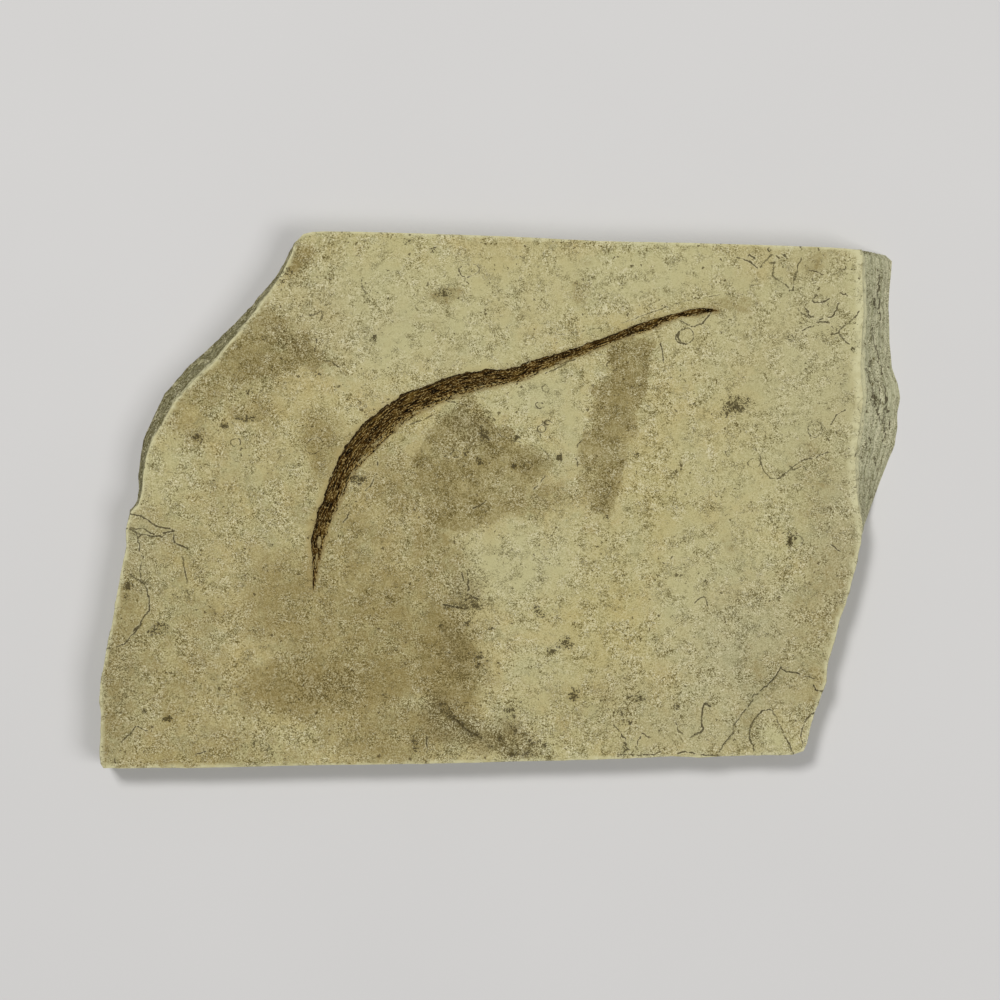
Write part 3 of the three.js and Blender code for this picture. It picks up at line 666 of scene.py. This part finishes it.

# How much darker each wall is painted, most at the upper left.
keep_mask(slab_mesh, "dark_wall_share", np.where(on_wall, rim_facts[:, DARK_WALL], 0.3))
keep_mask(slab_mesh, "wall", 1 - on_face)
# The pale strip along the rim: worn stone, partly a painted highlight on its rounded edge.
NATURAL_WEAR, SAWN_PALE_WIDTH = 0.6, 0.45
pale_width = np.where(rim_facts[:, WORN_WIDTH] > NATURAL_WEAR, rim_facts[:, PALE_WIDTH], SAWN_PALE_WIDTH)
worn_places = rim_distance + 0.3 * lumps(co, 2.5, 14.0)
worn_and_highlight = 1 - ease(worn_places, 0.6 * pale_width, 1.15 * pale_width)
keep_mask(slab_mesh, "worn_and_highlight", worn_and_highlight * (depth_share < 0.12))
keep_mask(slab_mesh, "strata", np.where(on_wall, depth_share, 0))


def linear(red, green, blue):
    """A screen colour, 0 to 255, as the shader's own numbers."""
    return tuple(v / 3294.6 if v <= 10 else ((v / 255 + 0.055) / 1.055) ** 2.4
                 for v in (red, green, blue)) + (1,)


class Amount:
    """A number or a colour that a finish works out at each place. Sums and products of it are new nodes."""

    def __init__(self, socket):
        self.socket = socket
        self.tree = socket.id_data

    def calc(self, operation, other=0.0, clamp=False):
        return add(self.tree, "ShaderNodeMath", {0: self, 1: other}, operation=operation, use_clamp=clamp)

    def __add__(self, other):
        return self.calc("ADD", other)

    def __sub__(self, other):
        return self.calc("SUBTRACT", other)

    def __mul__(self, other):
        return self.calc("MULTIPLY", other)


def feed(node, inputs):
    """Gives each named input of a node a fixed value, or a link from an amount."""
    for key, value in inputs.items():
        if isinstance(value, Amount):
            value.tree.links.new(value.socket, node.inputs[key])
        else:
            node.inputs[key].default_value = value


def add(tree, kind, inputs, output=0, **settings):
    """Adds a node, sets its options, feeds its inputs and gives one of its outputs."""
    node = tree.nodes.new(kind)
    for name, value in settings.items():
        setattr(node, name, value)
    feed(node, inputs)
    return Amount(node.outputs[output])


def span(value, low, high, to_low=0.0, to_high=1.0):
    """A value eased from one range to another."""
    ends = {"From Min": low, "From Max": high, "To Min": to_low, "To Max": to_high}
    return add(value.tree, "ShaderNodeMapRange", {"Value": value, **ends}, "Result",
               interpolation_type="SMOOTHSTEP")


def grain(place, scale, detail=2.0, roughness=0.5, stretch=None, **extra):
    """Random grain from 0 to 1, with scale lumps to the metre."""
    if stretch:
        place = add(place.tree, "ShaderNodeMapping", {"Vector": place, "Scale": stretch})
    sizes = {"Scale": scale, "Detail": detail, "Roughness": roughness, **extra}
    return add(place.tree, "ShaderNodeTexNoise", {"Vector": place, **sizes}, "Fac")


def thread_line(random, width):
    """1 where a grain passes through its middle value, which draws thin curling lines, and 0 beside it."""
    return span((random - 0.5).calc("ABSOLUTE"), 0.0, width, 1, 0)


def mixed(share, first, second):
    return add(share.tree, "ShaderNodeMix", {0: share, 6: first, 7: second}, 2, data_type="RGBA")


def mask(tree, name):
    return add(tree, "ShaderNodeAttribute", {}, "Fac", attribute_name=name)


def new_finish(name):
    """A new material, with its node tree and its shader."""
    material = bpy.data.materials.new(name)
    material.use_nodes = True
    return material, material.node_tree, material.node_tree.nodes["Principled BSDF"]


def small_relief(height, distance):
    return add(height.tree, "ShaderNodeBump", {"Height": height, "Strength": 0.6, "Distance": distance})


def limestone():
    """Matt buff limestone: smooth pale mud with fine dark and light grains, and stains laid over it."""
    material, tree, shader = new_finish("buff_limestone")
    place = add(tree, "ShaderNodeTexCoord", {}, "Object")
    broad = grain(place, 45, 3)
    patchy = grain(place, 210, 3, 0.6)
    mottle = grain(place, 620, 3, 0.6)
    fine = grain(place, 2300, 2, 0.6)
    finer = grain(place, 4200, 2, 0.6)
    brown, dark_mask, pale = mask(tree, "brown"), mask(tree, "dark"), mask(tree, "pale")
    spots_mask, worn_and_highlight, fish_margin = mask(tree, "spots"), mask(tree, "worn_and_highlight"), mask(tree, "fish_margin")

    # The buff of the clean stone, tinted warm and cool, then ochre, grey and pale clouds.
    tint = grain(place, 160, 3, 0.6)
    colour = mixed(span(broad, 0.35, 0.65), linear(179, 166, 116), linear(182, 173, 123))
    colour = mixed(span(tint, 0.52, 0.66, 0, 0.5), colour, linear(182, 164, 108))
    colour = mixed(span(tint, 0.48, 0.36, 0, 0.5), colour, linear(168, 165, 122))
    colour = mixed(mask(tree, "ochre") * 0.7, colour, linear(178, 164, 106))
    colour = mixed(mask(tree, "grey") * 0.6, colour, linear(166, 161, 126))
    colour = mixed(pale * span(broad, 0.3, 0.5, 0.6, 1), colour, linear(184, 178, 132))

    # The brown, clay and dark stains, with torn edges.
    torn = (patchy + mottle - 1.0) * 1.3
    brown = span(brown + torn, 0.05, 0.95)
    colour = mixed(brown * 0.82, colour, linear(128, 111, 60))
    stain = span(mask(tree, "stain") + torn, 0.3, 0.75)
    stain = stain * span(grain(place, 130, 4, 0.65), 0.36, 0.58, 0.6, 1.1)
    colour = mixed(stain * 0.78, colour, linear(128, 113, 64))
    colour = mixed(span(dark_mask + torn, 0.35, 1.2) * 0.5, colour, linear(112, 98, 58))

    # The walls, in thin pale and dark beds, with some walls painted darker, most at the upper left, and the
    # pale strip along the rim, which is worn stone and partly a painted highlight on the rounded edge.
    level = mask(tree, "strata") * 13.0 + patchy * 1.6 + broad * 3.0
    strata = grain(add(tree, "ShaderNodeCombineXYZ", {0: level}), 1.0, 3, 0.6)
    pale_wall = mixed(span(strata, 0.38, 0.62), linear(158, 158, 123), linear(200, 198, 164))
    pale_wall = mixed(span(mottle, 0.42, 0.3, 0, 0.6), pale_wall, linear(134, 132, 94))
    darker_wall = mixed(span(strata, 0.4, 0.6), linear(90, 87, 52), linear(128, 122, 82))
    darker_wall = mixed(span(mottle, 0.5, 0.64, 0, 0.6), darker_wall, linear(172, 166, 122))
    # Each wall is painted in the darker wall colours by its share, most at the upper left.
    dark_wall_share = mask(tree, "dark_wall_share") * span(patchy, 0.3, 0.5, 0.75, 1)
    colour = mixed(mask(tree, "wall"), colour, mixed(dark_wall_share, pale_wall, darker_wall))
    # The pale rim strip, partly a painted highlight on the rounded edge.
    colour = mixed(worn_and_highlight * span(mottle, 0.35, 0.6, 0.45, 0.9), colour, linear(204, 199, 158))

    # The grain, dense in patches and thin on pale stone, on the pale rim strip and beside the fish.
    density = span(grain(place, 95, 3, 0.65), 0.38, 0.62, 0.5, 1.0)
    density = density * span(grain(place, 260, 2, 0.5), 0.4, 0.6, 0.6, 1.3) + stain * 0.12
    for bare in (worn_and_highlight * 0.6, pale * 0.3, fish_margin * 0.5):
        density = density.calc("SUBTRACT", bare, clamp=True)
    colour = mixed(fish_margin * 0.65, colour, linear(160, 143, 94))
    rise = (finer - 0.5) * 5.1 + (fine - 0.5) * 3.9 + (mottle - 0.5) * 2.2 + (patchy - 0.5) * 1.1
    rise = rise * density
    on_stain = span(stain.calc("MAXIMUM", brown), 0.2, 1, 0.92, 0.58)
    colour = mixed(rise.calc("MULTIPLY", on_stain, clamp=True), colour, linear(212, 205, 170))
    colour = mixed(rise.calc("MULTIPLY", -1.0, clamp=True), colour, linear(84, 72, 26))
    speck = (finer - 0.5) * 5.0 + (fine - 0.5) * 5.0 + (mottle - 0.5) * 2.5 + (patchy - 0.5) * 2.0
    specks = span(dark_mask * 0.8 - speck, 0.65, 1.3) * span(dark_mask, 0.02, 0.3)
    colour = mixed(specks * 0.7, colour, linear(84, 72, 34))

    # Small dark grains of all sizes, on a cell pattern that is bent so that they come out uneven.
    bend = add(tree, "ShaderNodeTexNoise", {"Vector": place, "Scale": 1800.0, "Detail": 1.0}, "Color")
    bend = add(tree, "ShaderNodeVectorMath", {0: bend, 1: (0.0013, 0.0013, 0.0013)}, operation="MULTIPLY")
    bent_place = add(tree, "ShaderNodeVectorMath", {0: place, 1: bend}, operation="ADD")
    from_cell = add(tree, "ShaderNodeTexVoronoi", {"Vector": bent_place, "Scale": 900.0}, "Distance")
    cell_colour = Amount(from_cell.socket.node.outputs["Color"])
    size = add(tree, "ShaderNodeSeparateColor", {0: cell_colour}).calc("POWER", 3.0)
    size = size * span(grain(place, 150, 3, 0.65), 0.42, 0.6, 0.06, 0.36)
    dark_grain = span(size - from_cell, -0.03, 0.05)
    colour = mixed(dark_grain * 0.8, colour, linear(78, 66, 34))

    # Fine curls and hooks of broken shell.
    curls = thread_line(grain(place, 430, 2, 0.5, Distortion=1.2), 0.022)
    curls = curls * span(grain(place, 260, 2), 0.52, 0.6)
    hooks = thread_line(grain(place, 950, 1, 0.5, Distortion=1.5), 0.04)
    hooks = hooks * span(grain(place, 330, 3, 0.65), 0.54, 0.62)
    curls = curls.calc("MAXIMUM", hooks) * span(fine, 0.36, 0.5)
    colour = mixed(curls * 0.75, colour, linear(84, 73, 32))

    # The haze beside the fish; the cracks and flake edges, drawn as dark lines of dirt and painted shade with
    # a painted highlight beside them; and the mineral spots, with the pits of the flared wall painted as dark
    # spots of shade.
    haze = mask(tree, "fish_haze") * span(fine, 0.4, 0.6, 0.1, 0.6)
    colour = mixed(haze, colour, linear(92, 72, 38))
    frayed_line = mask(tree, "from_line") + (fine - 0.5) * 0.38
    # Dark lines in the cracks and along the flake edges, on the face and on the flared wall: dirt and painted
    # shade.
    crack_dirt_and_shade = span(frayed_line, 0.11, 0.25, 1, 0) * span(mottle, 0.3, 0.5, 0.75, 1)
    crack_dirt_and_shade = crack_dirt_and_shade * span(patchy, 0.38, 0.56, 0.7, 1)
    # A painted highlight: a pale line beside each crack and flake edge.
    painted_lip_highlight = span(frayed_line, 0.5, 0.26, 0, 1) * span(patchy, 0.45, 0.6, 0, 0.35)
    colour = mixed(painted_lip_highlight, colour, linear(200, 192, 152))
    colour = mixed(crack_dirt_and_shade * 0.85, colour, linear(56, 46, 18))
    clumps = grain(place, 1150, 2, 0.7)
    # On the flared wall these are the pits, painted as dark spots of shade.
    spot = spots_mask + (fine - 0.5) * 4.5 + (clumps - 0.5) * 5.0 + (mottle - 0.5) * 2.5
    spot = span(spot, 0.55, 0.8) * span(spots_mask, 0.02, 0.25)
    colour = mixed(spot * 0.88, colour, linear(60, 50, 18))

    height = fine * 0.8 + mottle * 0.6 - (curls * 0.6 + dark_grain * 0.5 + spot * 0.3)
    feed(shader, {"Base Color": colour, "Roughness": span(mottle, 0.3, 0.7, 0.82, 0.95),
                  "Specular IOR Level": 0.25, "Normal": small_relief(height, 0.0003)})
    return material


def make_piece(name, mesh, sharp_degrees):
    """Puts a mesh in the scene as one piece, shaded smooth but for its sharp edges."""
    mesh.shade_smooth()
    mesh.set_sharp_from_angle(angle=math.radians(sharp_degrees))
    piece = bpy.data.objects.new(name, mesh)
    bpy.context.scene.collection.objects.link(piece)
    return piece


slab_mesh.materials.append(limestone())
slab = make_piece("limestone_slab", slab_mesh, 48)
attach(slab, "root")
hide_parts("slab")

# ------------------------------------------------------------------------------------------------------
# The fish: a long slender body pressed into a dark brown film of bone and tissue, which lies on the
# bedding plane where the animal settled. Its edge is ragged, and its fibres run along the body. Stations
# are [x, y, half width] from snout to tail, in millimetres. The eye is an oval, like the shell rings, and
# the mouth is measured along the body, with its width as a share of the body's.
EYE = [-45.6, -10.5, 1.7, 0.62, 86]
MOUTH = dict(start=5.4, end=9.2, width=0.3)
FISH_LENGTH_CELLS = 640
FISH_WIDTH_CELLS = 26
BURIED = 0.35


def smooth_through(run, values, wanted):
    """A smooth curve through given values, by cubic pieces with the slopes of their neighbours."""
    slopes = np.gradient(values, run)
    index = np.clip(np.searchsorted(run, wanted) - 1, 0, len(run) - 2)
    width = run[index + 1] - run[index]
    t = (wanted - run[index]) / width
    return (values[index] * (1 + 2 * t) * (1 - t) ** 2 + slopes[index] * width * t * (1 - t) ** 2
            + values[index + 1] * t * t * (3 - 2 * t) + slopes[index + 1] * width * t * t * (t - 1))


body = np.array(FISH_BODY)
body_run = np.concatenate([[0], np.cumsum(np.linalg.norm(np.diff(body[:, :2], axis=0), axis=1))])
film = bmesh.new()
bmesh.ops.create_grid(film, x_segments=FISH_LENGTH_CELLS, y_segments=FISH_WIDTH_CELLS, size=0.5)
grid = np.array([v.co[:] for v in film.verts])
along = (grid[:, 0] + 0.5) * body_run[-1]
side = grid[:, 1] * 2
middle = np.stack([smooth_through(body_run, body[:, axis], along) for axis in (0, 1)], axis=1)
half_width = np.maximum(smooth_through(body_run, body[:, 2], along), 0.08)
before, after = np.clip(along - 0.2, 0, body_run[-1]), np.clip(along + 0.2, 0, body_run[-1])
way = np.stack([smooth_through(body_run, body[:, axis], after)
                - smooth_through(body_run, body[:, axis], before) for axis in (0, 1)], axis=1)
way /= np.linalg.norm(way, axis=1)[:, None]
ragged = np.array([0.16 * noise.noise((a / 1.5, 5 * s, 1.5)) + 0.12 * noise.noise((a / 0.55, 9 * s, 4.5))
                   for a, s in zip(along, np.sign(side))])
across = side * (half_width * (1.06 + 0.5 * ragged) + ragged * np.minimum(half_width, 1))
film_places = middle + np.stack([-way[:, 1], way[:, 0]], axis=1) * across[:, None]
threads = np.array([noise.noise((a / 2.2, x / 0.16, 2.5)) + 0.6 * noise.noise((a / 0.8, x / 0.4, 6.5))
                    for a, x in zip(along, across)])
dome = np.sqrt(np.clip(1 - side ** 2, 0, 1))
thickness = 0.05 + 0.12 * dome * np.minimum(half_width, 1.6) / 1.6 + 0.07 * threads * dome
film_height = TOP + face_relief(film_places) + thickness
layers = {name: film.verts.layers.float.new(name) for name in ("body_along", "body_across", "body_side")}
is_open = oval(film_places, *EYE) < 1
is_open |= (along > MOUTH["start"]) & (along < MOUTH["end"]) & (np.abs(side) < MOUTH["width"])
open_verts = {v for v, open_here in zip(film.verts, is_open) if open_here}
for vert, (x, y), z, a, w, s in zip(film.verts, film_places, film_height, along, across, side):
    vert.co = (x, y, z)
    vert[layers["body_along"]] = a
    vert[layers["body_across"]] = w
    vert[layers["body_side"]] = s


def is_gap(f):
    """True where the film has flaked away between its fibres, mostly along its two edges."""
    a, w, s = (sum(v[layer] for v in f.verts) / 4 for layer in layers.values())
    gap = noise.noise((a / 2.2, w / 0.3, 12.5)) + 0.4 * noise.noise((a / 0.6, w / 0.22, 15.5))
    return gap > 0.9 - 0.95 * ease(-s, 0.3, 0.9) - 0.5 * ease(s, 0.85, 1.0)


open_faces = [f for f in film.faces if all(v in open_verts for v in f.verts) or is_gap(f)]
bmesh.ops.delete(film, geom=open_faces, context="FACES")
# Faces that are left on their own or hold on by one corner go too, so that the film can be closed below.
loose = True
while loose:
    corners = [v for v in film.verts if len(v.link_faces) == 2 and len(v.link_edges) == 4]
    alone = [f for f in film.faces if sum(e.is_boundary for e in f.edges) == 4]
    loose = list(dict.fromkeys([v.link_faces[0] for v in corners] + alone))
    bmesh.ops.delete(film, geom=loose, context="FACES")
top_faces = film.faces[:]
under = bmesh.ops.extrude_face_region(film, geom=top_faces, use_keep_orig=True)["geom"]
under_verts = [part for part in under if isinstance(part, bmesh.types.BMVert)]
bmesh.ops.translate(film, verts=under_verts, vec=(0, 0, -BURIED))
bmesh.ops.recalc_face_normals(film, faces=film.faces[:])
bmesh.ops.scale(film, verts=film.verts[:], vec=(MM, MM, MM))
film_mesh = keep_mesh("fish_film", film)


def fish_film():
    """Dark brown fossil bone and tissue, faintly satin, with pale flecks of stone showing between fibres."""
    material, tree, shader = new_finish("fossil_bone_film")
    along, across, side = mask(tree, "body_along"), mask(tree, "body_across"), mask(tree, "body_side")
    run = add(tree, "ShaderNodeCombineXYZ", {0: along, 1: across})
    inner = span(side, -0.2, -0.95)
    threads = grain(run, 1.0, 3, 0.6, (0.35, 3.0, 1))
    flecks = grain(run, 1.0, 2, 0.6, (1.7, 3.4, 1))
    patches = grain(run, 0.32, 2, 0.5, (0.7, 2, 1))
    colour = mixed(span(threads, 0.38, 0.65), linear(6, 2, 0), linear(80, 56, 17))
    colour = mixed(span(patches, 0.52, 0.72, 0, 0.5), colour, linear(104, 82, 32))
    fleck = span(flecks + inner * 0.07 + (threads - 0.5) * 0.5, 0.55, 0.64)
    colour = mixed(fleck * 0.8, colour, mixed(inner, linear(160, 140, 90), linear(174, 152, 94)))
    rim_line = span(side, 0.7, 0.92).calc("MAXIMUM", span(side, -0.86, -0.97, 0, 0.5))
    colour = mixed(rim_line * 0.7, colour, linear(30, 20, 9))
    feed(shader, {"Base Color": colour, "Roughness": span(threads, 0.3, 0.7, 0.55, 0.8),
                  "Specular IOR Level": 0.02, "Normal": small_relief(threads, 0.0002)})
    return material


film_mesh.materials.append(fish_film())

# Its juices stained a smooth brownish margin on the stone along the outer side, and left loose threads and
# an ochre tinge on the inner side.
fish_line = [station[:2] for station in FISH_BODY]
fish_reach, fish_place = segment_distances(frayed_places, fish_line)
fish_half_width = np.interp(fish_place, np.arange(len(FISH_BODY)), body[:, 2])
beside = fish_reach - fish_half_width
near_run = np.array(fish_line)[np.clip(fish_place.astype(int), 0, len(fish_line) - 2)]
next_run = np.array(fish_line)[np.clip(fish_place.astype(int) + 1, 1, len(fish_line) - 1)]
turn_left = np.cross(next_run - near_run, face_places - near_run) > 0
head_end = 1 - ease(fish_place, 9, 14)
bare_outside = (1 - ease(beside, 0.6, 2.4)) * (0.35 + 0.65 * head_end)
bare = np.where(turn_left, bare_outside, 1 - ease(beside, 0.2, 0.8))
keep_mask(slab_mesh, "fish_margin", bare * on_face)
keep_mask(slab_mesh, "fish_haze", (1 - ease(beside, 0.1, 0.6)) * on_face)
fish = make_piece("fish_film", film_mesh, 60)
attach(fish, "root")
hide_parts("fish")

# ------------------------------------------------------------------------------------------------------
# The floor, light and camera. The slab lies on a plain pale floor under a large soft light, and the camera
# looks straight down on it.
FLOOR_SIZE = 6.0
CAMERA_HEIGHT = 0.65
CAMERA_X = -0.4 * MM

floor_shape = bmesh.new()
bmesh.ops.create_grid(floor_shape, x_segments=1, y_segments=1, size=FLOOR_SIZE / 2)
floor_mesh = keep_mesh("floor", floor_shape)
floor = bpy.data.objects.new("floor", floor_mesh)
bpy.context.scene.collection.objects.link(floor)
floor_paint, floor_tree, floor_shader = new_finish("pale_floor")
floor_place = add(floor_tree, "ShaderNodeTexCoord", {}, "Object")
floor_tone = mixed(grain(floor_place, 9, 4), (0.6, 0.59, 0.58, 1), (0.64, 0.63, 0.62, 1))
feed(floor_shader, {"Base Color": floor_tone, "Roughness": 0.9})
floor_mesh.materials.append(floor_paint)


def soft_light(name, place, size, power):
    light = bpy.data.lights.new(name, "AREA")
    light.shape = "SQUARE"
    light.size = size
    light.energy = power
    lamp = bpy.data.objects.new(name, light)
    bpy.context.scene.collection.objects.link(lamp)
    lamp.location = place
    lamp.rotation_euler = (-Vector(place)).to_track_quat("-Z", "Y").to_euler()


soft_light("key_light", (-0.6, 0.75, 1.8), 0.45, 24)
soft_light("fill_light", (1.1, -0.5, 1.7), 0.9, 17)

world = bpy.data.worlds.new("pale_room")
world.use_nodes = True
world.node_tree.nodes["Background"].inputs["Color"].default_value = (0.9, 0.9, 0.9, 1)
world.node_tree.nodes["Background"].inputs["Strength"].default_value = 0.25
bpy.context.scene.world = world

camera_data = bpy.data.cameras.new("camera")
camera_data.lens = 93.6
camera_data.sensor_width = 36
camera = bpy.data.objects.new("camera", camera_data)
bpy.context.scene.collection.objects.link(camera)
camera.location = (CAMERA_X, 0, TOP * MM + CAMERA_HEIGHT)
bpy.context.scene.camera = camera
bpy.context.scene.view_settings.view_transform = "Standard"
